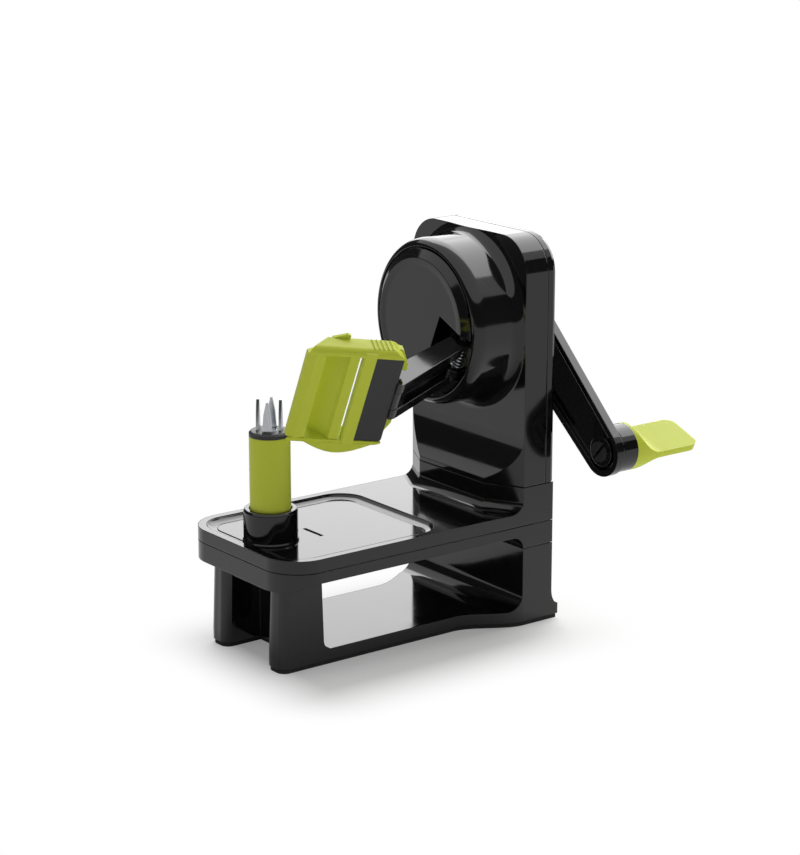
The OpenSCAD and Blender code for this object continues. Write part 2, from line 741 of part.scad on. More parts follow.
idler_phase = mesh_phase(crank_teeth, 0, idler_teeth, 270);
pinion_phase = mesh_phase(idler_teeth, idler_phase, pinion_teeth, 270);
motion_phase = mesh_phase(motion_small, 0, motion_large, 270);
drum_phase = mesh_phase(motion_small, motion_phase, motion_large, 90);

module crank_shaft() {
  color(STEEL) translate([0, 0, axis_z]) {
    rod_y(2.2, face_y + 6, motion_y);
    gear_y_axis(motion_m, motion_small, 0, motion_y - 0.4, motion_w);
    difference() {
      rod_y(crank_shaft_r, motion_y + motion_w - 0.4, crank_y + crank_t);
      rod_y(1.8, crank_y + crank_t - 10, crank_y + crank_t + 1);
    }
  }
}

module crank_gear() {
  color(NYLON) translate([0, 0, axis_z]) difference() {
    gear_y_axis(train_m, crank_teeth, 0, gear_y, gear_w);
    rod_y(crank_shaft_r, gear_y - 1, gear_y + gear_w + 1);
    for (a = [30:60:330]) rotate([0, a, 0]) translate([train_m * crank_teeth / 3.1, 0, 0])
      rod_y(5, gear_y - 1, gear_y + gear_w + 1);
  }
}

module lower_idler_gear() {
  color(NYLON) translate([0, 0, idler_z]) difference() {
    gear_y_axis(train_m, idler_teeth, idler_phase, gear_y, gear_w);
    rod_y(shaft_r + play, gear_y - 1, gear_y + gear_w + 1);
    for (a = [0:72:288]) rotate([0, a, 0]) translate([train_m * idler_teeth / 3.4, 0, 0])
      rod_y(3.6, gear_y - 1, gear_y + gear_w + 1);
  }
}

module motion_idler() {
  color(NYLON) translate([0, 0, axis_z - motion_c]) difference() {
    union() {
      gear_y_axis(motion_m, motion_large, motion_phase, motion_y, motion_w - 0.8);
      gear_y_axis(motion_m, motion_small, motion_phase, drum_gear_y - 0.3, motion_y - drum_gear_y + 0.4);
    }
    rod_y(1.5 + play, drum_gear_y - 1, tower_y);
  }
}

module drive_shaft() {
  color(STEEL) rod_y(shaft_r, spindle_y + miter_r - miter_face + 0.2, gear_y + gear_w + 1, shaft_z);
}

module shaft_pinion() {
  color(NYLON) translate([0, 0, shaft_z]) difference() {
    gear_y_axis(train_m, pinion_teeth, pinion_phase, gear_y, gear_w);
    rod_y(shaft_r, gear_y - 1, gear_y + gear_w + 1);
  }
}

// Miter gear with its apex at the origin, opening along +Z. Its teeth narrow towards the apex.
module miter_gear() {
  near = miter_r - miter_face;
  drop = 1.1 * miter_m / sqrt(2);
  tooth = 0.17 * PI * miter_m;
  difference() {
    union() {
      rotate_extrude() polygon([[0, near + drop * near / miter_r],
        [near - drop * near / miter_r, near + drop * near / miter_r],
        [miter_r - drop, miter_r + drop], [miter_hub_r, miter_r + drop], [miter_hub_r, miter_r + miter_hub],
        [0, miter_r + miter_hub]]);
      for (i = [0:miter_teeth - 1]) rotate(360 / miter_teeth * i) rotate([0, -45, 0])
        translate([0, 0, -0.6 * miter_m]) linear_extrude(1.9 * miter_m) polygon([
          [sqrt(2) * near, -tooth * near / miter_r], [sqrt(2) * miter_r, -tooth],
          [sqrt(2) * miter_r, tooth], [sqrt(2) * near, tooth * near / miter_r]]);
    }
    cylinder(r = shaft_r, h = 2 * miter_r + 4);
  }
}

module miter_pinion() {
  color(NYLON) translate([0, spindle_y, shaft_z]) rotate([-90, 0, 0]) rotate(180 / miter_teeth)
    miter_gear();
}

module spindle_gear() {
  color(NYLON) translate([0, spindle_y, shaft_z]) miter_gear();
}

// The spindle's shaft steps down to carry the miter gear, whose hub meets the shoulder
module spindle_shaft() {
  low = shaft_z + miter_r - miter_face + 0.2;
  shoulder = shaft_z + miter_r + miter_hub;
  color(STEEL) translate([0, spindle_y, 0]) union() {
    translate([0, 0, low]) cylinder(r = shaft_r, h = shoulder - low + 1);
    translate([0, 0, shoulder]) cylinder(r = spindle_r, h = tube_z + 2.2 - shoulder);
  }
}

module spindle_tube() {
  bottom = collar_z - 4;
  color(LIME) translate([0, spindle_y, 0]) difference() {
    translate([0, 0, bottom]) cylinder(r = tube_r, h = tube_z - bottom);
    translate([0, 0, bottom - 1]) cylinder(r = spindle_r, h = tube_z);
  }
}

module fork_hub() {
  color(MATTE_BLACK) translate([0, spindle_y, 0]) difference() {
    rotate_extrude() polygon([[0, tube_z], [tube_r, tube_z], [tube_r, tube_z + fork_h - 0.8],
      [tube_r - 0.8, tube_z + fork_h], [0, tube_z + fork_h]]);
    translate([0, 0, tube_z - 1]) cylinder(r = spindle_r, h = 1 + 2.2);
    prongs(0, 0);
  }
}

// Flat prongs round the spindle, rooted in the fork's hub
module prongs(high, taper) {
  for (i = [0:prong_count - 1]) rotate(45 + 360 / prong_count * i) translate([tube_r * 0.55, 0, 0])
    rotate([90, 0, 90]) linear_extrude(1.2, center = true) polygon([[-2.2, tube_z + 1.2], [2.2, tube_z + 1.2],
      [2.2 - taper / 2, tube_z + fork_h + 2 + high * 0.5], [0.3, tube_z + fork_h + 2 + high],
      [-0.3, tube_z + fork_h + 2 + high], [taper / 2 - 2.2, tube_z + fork_h + 2 + high * 0.5]]);
}

module fork_prongs() {
  color(STEEL) translate([0, spindle_y, 0]) prongs(prong_len - 2, 1.4);
}

module arm_carrier() {
  back = boss_y + 9;
  lip_back = boss_y + 2.5 + gap;
  hub_r2 = 7;
  color(BLACK) drum_frame() difference() {
    union() {
      rotate([-90, 0, 0]) rotate_extrude() polygon([[0, face_y + 0.5], [face_r - 4, face_y + 0.5],
        [face_r - 1, face_y], [face_r, face_y], [carrier_r, boss_y], [carrier_r, lip_back],
        [boss_r - wall - 0.6, lip_back], [boss_r - wall - 0.6, lip_back + 2], [carrier_r, lip_back + 2],
        [carrier_r, back], [carrier_r - 3, back], [carrier_r - 3, face_y + 4], [hub_r2, face_y + 4],
        [hub_r2, drum_gear_y], [0, drum_gear_y]]);
      intersection() {
        rod_y(carrier_r - 1, face_y + 3.5, back - 0.5);
        box(slot_in - 4, carrier_r, face_y + 3, back, -slot_w / 2 - lug_t, slot_w / 2 + lug_t);
      }
    }
    box(slot_in, 2 * carrier_r, face_y - 1, back + 1, -slot_w / 2, slot_w / 2);
    translate([hinge_r, hinge_y, -slot_w]) cylinder(r = pin_r, h = 2 * slot_w);
    rod_y(2.2 + play, face_y + 5.6, drum_gear_y + 1);
    for (a = [60, 180, 300]) rotate([0, a, 0]) translate([4.9, 0, 0])
      rod_y(0.85, drum_gear_y - 5, drum_gear_y + 1);
  }
}

module drum_gear() {
  color(NYLON) drum_frame() difference() {
    along_y(drum_gear_y, drum_gear_w) polygon(gear_outline(motion_m, motion_large, drum_phase - rest_angle));
    rod_y(2.2 + 2 * gap, drum_gear_y - 1, drum_gear_y + drum_gear_w + 1);
    for (a = [60, 180, 300]) rotate([0, a, 0]) translate([4.9, 0, 0]) {
      rod_y(0.85, drum_gear_y - 1, drum_gear_y + drum_gear_w + 1);
      rod_y(1.5, drum_gear_y + drum_gear_w - 0.6, drum_gear_y + drum_gear_w + 1);
    }
  }
}

module carrier_screws() {
  color(STEEL) drum_frame() for (a = [60, 180, 300]) rotate([0, a, 0])
    translate([4.9, drum_gear_y + drum_gear_w + 0.6, 0]) rotate([-90, 0, 0]) screw(0.85, 1.5, 8);
}

module arm_pin() {
  half = slot_w / 2 + lug_t - 0.4;
  color(STEEL) drum_frame() translate([hinge_r, hinge_y, -half]) cylinder(r = pin_r, h = 2 * half);
}

// Torsion spring as one tube of six sides, with eight rings to a turn
coil_r = pin_r + 0.3 + wire_d / 2;
coil_pitch = wire_d + 0.7;
coil_len = coil_pitch * spring_turns;
RINGS = 8 * spring_turns;
function coil_at(i) = [coil_r * cos(45 * i), coil_r * sin(45 * i), coil_pitch * i / 8 - coil_len / 2];
function coil_dir(i) = let (d = coil_at(i + 0.5) - coil_at(i - 0.5)) d / norm(d);
function ring_point(i, k) =
  let (out = [cos(45 * i), sin(45 * i), 0], side = cross(coil_dir(i), out))
  coil_at(i) + wire_d / 2 * (cos(60 * k) * out + sin(60 * k) * side);
coil_gap = min([for (k = [0:5], n = [0:5]) norm(ring_point(8, k) - ring_point(0, n))]);
echo(least_gap_between_turns = coil_gap);  // arm_spring

module arm_spring() {
  points = [for (i = [0:RINGS], k = [0:5]) ring_point(i, k)];
  skin = [for (i = [0:RINGS - 1], k = [0:5])
    let (a = 6 * i + k, b = 6 * i + (k + 1) % 6) each [[a, a + 6, b], [b, a + 6, b + 6]]];
  ends = [for (k = [1:4]) each [[0, k, k + 1], [6 * RINGS, 6 * RINGS + k + 1, 6 * RINGS + k]]];
  color(STEEL) drum_frame() translate([hinge_r, hinge_y, 0]) polyhedron(points, concat(skin, ends));
}

// Arm seen along the hinge: it leaves the drum outwards and ends flat against the head's carrier
arm_end = [head_r + head_len * sin(head_angle) - 5 * cos(head_angle),
  head_y + head_len * cos(head_angle) + 5 * sin(head_angle)];
arm_vec = arm_end - [hinge_r, hinge_y];
arm_len = norm(arm_vec);
arm_dir = atan2(arm_vec[1], arm_vec[0]);

module arm_side(r1, r2, from) {
  difference() {
    translate([hinge_r, hinge_y]) rotate(arm_dir) difference() {
      polygon(bar_outline(r1, r2, arm_len));
      translate([-20, -20]) square([20 + from, 40]);
    }
    translate([head_r, head_y]) rotate(-head_angle) translate([-40, head_len - 60]) square([80, 60]);
  }
}

module blade_arm() {
  color(BLACK) drum_frame() difference() {
    union() {
      for (z = [-1, 1]) {
        translate([0, 0, z * (arm_w - knuckle_t) / 2 - knuckle_t / 2])
          linear_extrude(knuckle_t) arm_side(knuckle_r, 5.4, -knuckle_r - 1);
        translate([0, 0, z * (arm_w - rib_t) / 2 - rib_t / 2])
          linear_extrude(rib_t) arm_side(knuckle_r, 5.4, 7.5);
      }
      translate([0, 0, -arm_w / 2 + 1]) linear_extrude(arm_w - 2) intersection() {
        arm_side(knuckle_r - 0.4, 5, 7.5);
        translate([hinge_r, hinge_y]) rotate(arm_dir) translate([0, -20]) square([2 * arm_len, 20 + 0.6]);
      }
      translate([0, 0, -arm_w / 2 + 1]) linear_extrude(arm_w - 2) arm_side(knuckle_r - 0.4, 5, arm_len - 4);
    }
    translate([hinge_r, hinge_y, -slot_w]) cylinder(r = pin_r + play, h = 2 * slot_w);
    arm_screw_places() translate([0, 0, -11]) cylinder(r = 1.1, h = 10);
  }
}

// Two screws hold the arm's flat end to the carrier. Z points from the carrier into the arm.
module arm_screw_places() {
  translate([head_r, head_y, 0]) rotate([0, 0, -head_angle])
    for (z = [-1, 1]) translate([-5, head_len - 6, z * arm_w / 4]) rotate([90, 0, 0]) children();
}

module arm_screws() {
  color(STEEL) drum_frame() arm_screw_places() screw(1, 1.8, 10);
}

module head_carrier() {
  half = head_h / 2 - rail_t - 0.1;
  color(MATTE_BLACK) drum_frame() difference() {
    translate([head_r, head_y, 0]) rotate([0, 0, -head_angle]) difference() {
      box(-rail_d + 1, -0.5, bar_end + 0.1, head_len, -half, half);
      box(-rail_d, -rail_d + 4.5, bar_end + 3, head_len - 3, -half + 3, half - 3);
      translate([0, head_len + 2, -half - 2]) rotate([45, 0, 0]) cube([3 * rail_d, 7, 7], center = true);
    }
    arm_screw_places() {
      translate([0, 0, -1.5]) cylinder(r = 2, h = 14);
      translate([0, 0, -8]) cylinder(r = 1.15, h = 10);
    }
  }
}

module blade_cartridge() {
  half = head_h / 2;
  inner = half - rail_t;
  module side_view(r, t) {
    translate([r, 0, 0]) rotate([90, 0, 90]) linear_extrude(t) children();
  }
  color(LIME) head_frame() difference() {
    union() {
      for (z = [0, 1]) mirror([0, 0, z]) {
        // rail with a rounded outer corner, sloping down at the rear
        difference() {
          translate([0, -guide_w, 0]) rotate([-90, 0, 0]) linear_extrude(guide_w + head_len)
            mirror([0, 1]) polygon(concat([[-rail_d, inner], [0, inner]],
              arc([-rail_t, inner], rail_t, 0, 90), [[-rail_d + 1, half], [-rail_d, half - 1]]));
          side_view(-2 * rail_d, 3 * rail_d) polygon([[head_len - 4, half], [head_len + 1, half - 3],
            [head_len + 1, half + 1], [head_len - 4, half + 1]]);
        }
        // clip tab behind the rail
        side_view(-rail_d + 1, 3) polygon([[head_len - 2, inner + 0.3], [head_len - 2, inner + 1.4],
          [head_len + 0.8, inner + 1.2], [head_len + 4.5, inner - 6], [head_len + 4.5, inner - 9],
          [head_len + 0.2, inner - 8], [head_len + 0.2, inner + 0.3]]);
      }
      // grip ridges on the upper rail
      for (i = [0:4]) translate([-rail_d / 2 - 0.6, head_len - 5 - 1.95 * i, half - 0.3]) rotate([45, 0, 0])
        cube([rail_d - 3.5, 1.1, 1.1], center = true);
      // keel under the lower rail
      side_view(-rail_t - 2.5, rail_t + 1.5) polygon([for (i = [0:16])
        [edge_l - 3 + (head_len - edge_l) * i / 16, 1 - half - 5 * sin(11.25 * i)]]);
      // thumb fin behind the upper rail
      side_view(-rail_d, 1.4) polygon([[edge_l + 1, half - 1.2], [edge_l + 1, half], [edge_l + 7, half + 1.9],
        [edge_l + 8.2, half + 1.5], [edge_l + 8.4, half - 1.2]]);
      // guide bar with two facets
      translate([0, 0, -inner - 0.5]) linear_extrude(2 * inner + 1) polygon([[-4, -guide_w], [-1.5, -guide_w],
        [0, 0.4], [-0.7, guide_end], [-5.2, guide_end], [-6.6, guide_end - 2.4]]);
      // ramp and the bar along the slit
      translate([0, 0, -half + 1]) linear_extrude(head_h - 2) polygon([[edge_r, edge_l], [ramp_r, ramp_l],
        [-0.7, ramp_l + 0.9], [-0.4, slit_l], [-3.2, slit_l],
        on_ramp(-ramp_t, ramp_len - 0.2), on_ramp(-ramp_t, 1)]);
      // rear bar
      translate([0, 0, -half + 1]) linear_extrude(head_h - 2) polygon([[-rail_d + 3, bar_end - 2.4],
        [-3, slit_l + slit_w], [-0.4, slit_l + slit_w], [0, slit_l + slit_w + 0.6],
        [0, bar_end], [-rail_d + 3, bar_end]]);
    }
    rivet_places() translate([0, 0, -3]) cylinder(r = 0.75, h = 2.4);
  }
}

// Places of the blade's rivets under the ramp. Z points outwards and is zero on the ramp's outer side.
module rivet_places() {
  for (z = [-14, 0, 14]) translate(concat(on_ramp(0, 4), z))
    rotate([0, 0, -ramp_slope]) rotate([0, 90, 0]) children();
}

// Thin steel strip under the ramp, with its sharpened edge in the mouth
module peeling_blade() {
  long = head_h - 2 * rail_t - 1.2;
  color(STEEL) head_frame() difference() {
    translate([0, 0, -long / 2]) linear_extrude(long) polygon([on_ramp(-ramp_t, -1),
      on_ramp(-ramp_t, ramp_len - 1.6),
      on_ramp(-ramp_t - blade_t, ramp_len - 1.6), on_ramp(-ramp_t - blade_t, 0.4)]);
    rivet_places() translate([0, 0, -4]) cylinder(r = 0.75, h = 4);
  }
}

module blade_rivets() {
  under = ramp_t + blade_t;
  color(STEEL) head_frame() rivet_places() {
    translate([0, 0, -under - 0.1]) cylinder(r = 0.75, h = under - 0.5);
    translate([0, 0, -under - 0.6]) cylinder(r = 1.3, h = 0.6);
  }
}

// Crank, seen from the fruit end and turned to its angle as it stands
module crank_frame() {
  translate([0, 0, axis_z]) rotate([0, -crank_angle, 0]) children();
}

module crank_arm() {
  color(BLACK) crank_frame() difference() {
    union() {
      difference() {
        along_y(crank_y, crank_t) polygon(bar_outline(hub_r, end_r, throw));
        along_y(crank_y - 1, 3.4) polygon(bar_outline(hub_r - 2.6, end_r - 2.6, throw));
      }
      rod_y(hub_r - 3.5, crank_y - 4, crank_y + 3);
      translate([throw, 0, 0]) rod_y(end_r - 4.4, crank_y, crank_y + 3);
      rod_y(hub_r - 2.4, crank_y + crank_t - 0.5, crank_y + crank_t + 5);
    }
    rod_y(crank_shaft_r, crank_y - 5, crank_y + crank_t);
    rod_y(hub_r - 4, crank_y + crank_t, crank_y + crank_t + 6);
    translate([throw, 0, 0]) rod_y(3, crank_y - 1, crank_y + crank_t + 1);
  }
}

module hub_cap() {
  y0 = crank_y + crank_t + 1.6;
  r = hub_r - 4;
  color(BLACK) crank_frame() rotate([-90, 0, 0]) rotate_extrude() polygon(concat(
    [[0, y0 + 2.2], [r - 1.4, y0 + 2.2], [r - 1.4, y0], [r, y0], [r, y0 + 3.4], [hub_r - 2.4, y0 + 3.4]],
    [for (i = [0:12]) [(hub_r - 2.4) * cos(7.5 * i), y0 + 4 + 8 * sin(7.5 * i)]]));
}

module crank_screw() {
  color(STEEL) crank_frame() translate([0, crank_y + crank_t + 2.4, 0]) rotate([-90, 0, 0]) screw(1.75, 3, 10);
}

module grip_pin() {
  end = crank_y + crank_t + gap + sleeve_len + 4;
  color(MATTE_BLACK) crank_frame() translate([throw, 0, 0]) difference() {
    union() {
      rod_y(3, crank_y - 1.4, end);
      rod_y(4.4, crank_y - 1.4, crank_y);
    }
    box(-0.7, 0.7, crank_y - 2, crank_y + 3, -5, 5);
  }
}

module grip_frame() {
  crank_frame() translate([throw, crank_y + crank_t + gap, 0]) rotate([0, crank_angle, 0])
    rotate([0, paddle_tilt, 0]) children();
}

module grip_sleeve() {
  color(BLACK) grip_frame() rotate([-90, 0, 0]) rotate_extrude() polygon([[3 + play, 0], [grip_r - 0.6, 0],
    [grip_r, 0.6], [grip_r, sleeve_len], [3 + play, sleeve_len]]);
}

// Paddle: round where it meets the sleeve, scooped on both sides to a flat blade with round far corners
module grip_paddle() {
  scoop = 13;
  corner = 6.5;
  far = sleeve_len + paddle_len;
  half = paddle_t / 2;
  function scoop_curve(s) = [for (i = [0:12])
    [sleeve_len + 1.5 + scoop * i / 12, s * (half + (grip_r - half) * pow(1 - i / 12, 2.2))]];
  color(LIME) grip_frame() difference() {
    intersection() {
      rotate([90, 0, 90]) linear_extrude(2 * grip_r, center = true) polygon(concat(
        [[sleeve_len, -grip_r]], scoop_curve(-1), arc([far - half, 0], half, -90, 90, 8),
        [for (i = [12:-1:0]) scoop_curve(1)[i]], [[sleeve_len, grip_r]]));
      translate([0, 0, -grip_r]) linear_extrude(2 * grip_r) polygon(concat(
        [[-grip_r, sleeve_len], [grip_r, sleeve_len]], arc([grip_r - corner, far - corner], corner, 0, 90, 8),
        arc([corner - grip_r, far - corner], corner, 90, 180, 8)));
      rod_y(grip_r, sleeve_len - 1, far + 1);
    }
    rod_y(3 + play, sleeve_len - 1, sleeve_len + 4.6);
  }
}

rubber_sole();
stand();
base_pan();
base_cover();
spindle_collar();
spindle_bush();
front_shaft_bush();
rear_shaft_bush();
tower_front();
tower_back();
gear_plate();
plate_screws();
tower_screws();
leg_screws();
front_crank_bush();
rear_crank_bush();
lower_axle();
motion_axle();
crank_shaft();
crank_gear();
crank_arm();
hub_cap();
crank_screw();
grip_pin();
grip_sleeve();
grip_paddle();
lower_idler_gear();
motion_idler();
drive_shaft();
shaft_pinion();
miter_pinion();
spindle_shaft();
spindle_gear();
spindle_tube();
fork_hub();
fork_prongs();
arm_carrier();
drum_gear();
carrier_screws();
arm_pin();
arm_spring();
blade_arm();
arm_screws();
head_carrier();
blade_cartridge();
peeling_blade();
blade_rivets();
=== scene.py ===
# Looks of a hand-cranked apple peeler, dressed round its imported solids.
import json
import math

import bmesh
import bpy
from mathutils import Matrix, Vector


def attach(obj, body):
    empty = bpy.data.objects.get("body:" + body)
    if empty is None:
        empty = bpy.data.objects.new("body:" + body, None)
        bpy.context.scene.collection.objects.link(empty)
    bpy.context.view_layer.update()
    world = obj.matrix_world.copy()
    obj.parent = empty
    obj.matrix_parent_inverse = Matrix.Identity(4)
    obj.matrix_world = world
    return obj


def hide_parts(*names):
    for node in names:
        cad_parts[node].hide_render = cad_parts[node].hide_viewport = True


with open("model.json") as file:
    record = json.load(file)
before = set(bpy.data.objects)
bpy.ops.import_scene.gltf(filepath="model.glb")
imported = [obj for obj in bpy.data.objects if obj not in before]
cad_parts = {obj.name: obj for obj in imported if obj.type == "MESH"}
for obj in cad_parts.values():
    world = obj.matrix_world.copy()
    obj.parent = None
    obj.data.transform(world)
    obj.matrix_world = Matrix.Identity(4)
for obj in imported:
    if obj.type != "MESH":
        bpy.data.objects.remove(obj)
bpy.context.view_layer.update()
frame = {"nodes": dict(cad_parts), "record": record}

MM = 0.001
NODES = frame["nodes"]
RECORD = frame["record"]
BODY = {node: body for body, members in RECORD["behaviour"]["bodies"].items() for node in members}
SLOT = {row["node"]: row["material_slot"] for row in RECORD["subparts"]}

# Shading of the solids' facets. Faces that lie within FLAT of each other, and any specks beside them, are one
# plane. A plane more than BROAD millimetres wide stays flat to its edges. Planes meet smoothly below CREASE.
FLAT = math.cos(math.radians(0.6))
SPECK = (0.02 * MM) ** 2
BROAD = 5.0
CREASE = math.radians(25)
WELD = 0.002 * MM
SLIVER = 0.001 * MM
# Hair-wide ledge on the front of the stand's legs, in millimetres: its height, how far back it goes, its width.
LEDGE_Z, LEDGE_Y, LEDGE_W = 6.7, -58.0, 0.36


def linear(code):
    """An sRGB hex colour as linear RGBA."""
    parts = [int(code[i:i + 2], 16) / 255 for i in (1, 3, 5)]
    return [p / 12.92 if p <= 0.04045 else ((p + 0.055) / 1.055) ** 2.4 for p in parts] + [1.0]


def add(tree, kind, links=None, **settings):
    """Adds a node. A setting names one of its attributes, or an input by name or, as in _3, by number. Links give
    an input the output socket that feeds it."""
    node = tree.nodes.new(kind)
    for key, value in settings.items():
        if hasattr(node, key):
            setattr(node, key, value)
        else:
            socket = int(key[1:]) if key[1:].isdigit() else key.replace("_", " ")
            node.inputs[socket].default_value = value
    for key, output in (links or {}).items():
        tree.links.new(output, node.inputs[key])
    return node


def new_material(name):
    """A material with its tree, its shader and the object coordinates."""
    material = bpy.data.materials.new(name)
    material.use_nodes = True
    tree = material.node_tree
    tree.nodes.clear()
    output = add(tree, "ShaderNodeOutputMaterial")
    shader = add(tree, "ShaderNodeBsdfPrincipled")
    tree.links.new(shader.outputs[0], output.inputs[0])
    coordinates = add(tree, "ShaderNodeTexCoord").outputs["Object"]
    return material, tree, shader, coordinates


def per_mm(size):
    """Texture scale whose pattern repeats about every size millimetres."""
    return 1 / (size * MM)


def moulded_plastic(name, dark, light, rough, ior, grain_mm, grain_depth, scuff, edge_mm):
    """Moulded plastic: its tone drifts over tens of millimetres, its skin has the tool's grain, its edges are
    eased by the tool and its gloss is a little uneven from handling."""
    drift_mm, rub_mm = 45, 14
    material, tree, shader, place = new_material(name)
    shader.inputs["IOR"].default_value = ior
    eased = add(tree, "ShaderNodeBevel", samples=6, Radius=edge_mm * MM).outputs[0]
    drift = add(tree, "ShaderNodeTexNoise", {"Vector": place}, Scale=per_mm(drift_mm), Detail=2.0)
    tone = add(tree, "ShaderNodeMix", {0: drift.outputs["Fac"]}, data_type="RGBA",
               _6=linear(dark), _7=linear(light))
    tree.links.new(tone.outputs[2], shader.inputs["Base Color"])
    rub = add(tree, "ShaderNodeTexNoise", {"Vector": place}, Scale=per_mm(rub_mm), Detail=6.0, Roughness=0.65)
    gloss = add(tree, "ShaderNodeMapRange", {0: rub.outputs["Fac"]}, _1=0.35, _2=0.75,
                _3=rough, _4=rough + scuff)
    tree.links.new(gloss.outputs[0], shader.inputs["Roughness"])
    grain = add(tree, "ShaderNodeTexNoise", {"Vector": place}, Scale=per_mm(grain_mm), Detail=3.0)
    bump = add(tree, "ShaderNodeBump", {"Height": grain.outputs["Fac"], "Normal": eased},
               Distance=grain_depth * MM, Strength=0.6)
    tree.links.new(bump.outputs[0], shader.inputs["Normal"])
    return material, shader


def plain_metal(name, dark, light, rough, line_mm, along):
    """Drawn or rolled metal: fine lines along the way it was worked, and a slightly uneven gloss. The real lines
    are a few hundredths of a millimetre apart and are drawn about ten times coarser, so that they show."""
    line_stretch, line_depth = 0.06, 0.01
    material, tree, shader, place = new_material(name)
    shader.inputs["Metallic"].default_value = 1.0
    stretch = [1.0, 1.0, 1.0]
    stretch["XYZ".index(along)] = line_stretch
    turned = add(tree, "ShaderNodeMapping", {"Vector": place}, Scale=stretch)
    lines = add(tree, "ShaderNodeTexNoise", {"Vector": turned.outputs[0]}, Scale=per_mm(line_mm), Detail=4.0)
    tone = add(tree, "ShaderNodeMix", {0: lines.outputs["Fac"]}, data_type="RGBA",
               _6=linear(dark), _7=linear(light))
    tree.links.new(tone.outputs[2], shader.inputs["Base Color"])
    gloss = add(tree, "ShaderNodeMapRange", {0: lines.outputs["Fac"]}, _3=rough * 0.7, _4=rough * 1.4)
    tree.links.new(gloss.outputs[0], shader.inputs["Roughness"])
    bump = add(tree, "ShaderNodeBump", {"Height": lines.outputs["Fac"]}, Distance=line_depth * MM, Strength=0.4)
    tree.links.new(bump.outputs[0], shader.inputs["Normal"])
    return material


# Black ABS from a polished tool: nearly mirror-like, with long clean reflections that soften a little where it is
# touched.
polished_black, _ = moulded_plastic("polished_black_abs", "#0c0c0d", "#121213", 0.07, 1.53, 12, 0.003, 0.07, 0.5)
# Black ABS from an eroded tool: an even satin skin that swallows reflections. Its real grain of about 0.05 mm is
# drawn ten times coarser, so that it shows.
satin_black, _ = moulded_plastic("satin_black_abs", "#232325", "#2b2b2d", 0.42, 1.53, 0.5, 0.03, 0.1, 0.4)
# Lime green ABS, dyed through and a little cloudy, so light softens inside it and edges glow.
lime_abs, lime_shader = moulded_plastic("lime_abs", "#c6d13f", "#d0da4c", 0.34, 1.53, 6, 0.006, 0.1, 0.4)
lime_shader.inputs["Specular IOR Level"].default_value = 0.16
lime_shader.inputs["Subsurface Weight"].default_value = 0.25
lime_shader.inputs["Subsurface Radius"].default_value = (0.9, 1.0, 0.25)
lime_shader.inputs["Subsurface Scale"].default_value = 2.0 * MM
# Black rubber: dull, with a sandy skin, whose real grain of about 0.1 mm is drawn coarser, so that it shows.
sole_rubber, _ = moulded_plastic("moulded_rubber", "#1b1b1b", "#232323", 0.75, 1.5, 0.7, 0.05, 0.1, 0.3)
# Uncoloured nylon: creamy and waxy.
natural_nylon, _ = moulded_plastic("natural_nylon", "#ded9cb", "#e9e4d6", 0.38, 1.53, 1.2, 0.02, 0.1, 0.2)
# Drawn stainless wire and bar: bright, with lines along its length.
drawn_steel = plain_metal("drawn_stainless_steel", "#a9acb0", "#d3d6d8", 0.2, 0.35, "Z")
# Zinc-plated spring wire: light and a little frosted, so each turn catches a broad highlight.
plated_wire = plain_metal("zinc_plated_wire", "#c2c5c7", "#dfe1e2", 0.32, 0.35, "Z")
# Rolled spring-steel strip, ground on one edge: finer lines along the blade.
blade_steel = plain_metal("ground_blade_steel", "#b6babd", "#dcdfe0", 0.16, 0.25, "Z")
# Turned brass: warm, with a soft sheen.
turned_brass = plain_metal("turned_brass", "#b98f3f", "#d2ab5c", 0.24, 0.3, "Y")

FINISH = {"rubber": sole_rubber, "black": polished_black, "soft_black": satin_black, "lime": lime_abs,
          "steel": drawn_steel, "brass": turned_brass, "nylon": natural_nylon}


def finish_of(node):
    return blade_steel if node == "peeling_blade" else FINISH[SLOT[node]]


for name, piece in NODES.items():
    piece.data.materials.clear()
    piece.data.materials.append(finish_of(name))


def keep(piece, body, material=None, slot=None, *nodes):
    """Puts a finished piece on its body and, where it stands for CAD nodes, hides those."""
    if material is not None:
        piece.data.materials.clear()
        piece.data.materials.append(material)
    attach(piece, body)
    if nodes:
        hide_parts(*nodes)
    return piece


def new_piece(name, data):
    """An object for the given mesh or curve, linked to the scene."""
    piece = bpy.data.objects.new(name, data)
    bpy.context.scene.collection.objects.link(piece)
    return piece


def settled(piece, name):
    """The piece with its modifiers turned into plain mesh."""
    shown = piece.evaluated_get(bpy.context.evaluated_depsgraph_get())
    mesh = bpy.data.meshes.new_from_object(shown)
    piece.modifiers.clear()
    old = piece.data
    piece.data = mesh
    bpy.data.meshes.remove(old)
    piece.name = mesh.name = name
    return piece


def cut_away(piece, cuts):
    """Cuts prisms out of a closed mesh. Each is a place, and the outline and two heights of the prism there."""
    for place, outline, low, high in cuts:
        work = bmesh.new()
        rings = [[work.verts.new(place @ (Vector((x, y, z)) * MM)) for x, y in outline] for z in (low, high)]
        for i in range(len(outline)):
            j = (i + 1) % len(outline)
            work.faces.new((rings[0][i], rings[0][j], rings[1][j], rings[1][i]))
        work.faces.new(rings[0])
        work.faces.new(rings[1])
        bmesh.ops.recalc_face_normals(work, faces=work.faces)
        mesh = bpy.data.meshes.new("cut")
        work.to_mesh(mesh)
        work.free()
        cutter = new_piece("cut", mesh)
        trim = piece.modifiers.new("trim", "BOOLEAN")
        trim.operation, trim.solver, trim.object = "DIFFERENCE", "EXACT", cutter
        settled(piece, piece.name)
        bpy.data.objects.remove(cutter)
        bpy.data.meshes.remove(mesh)


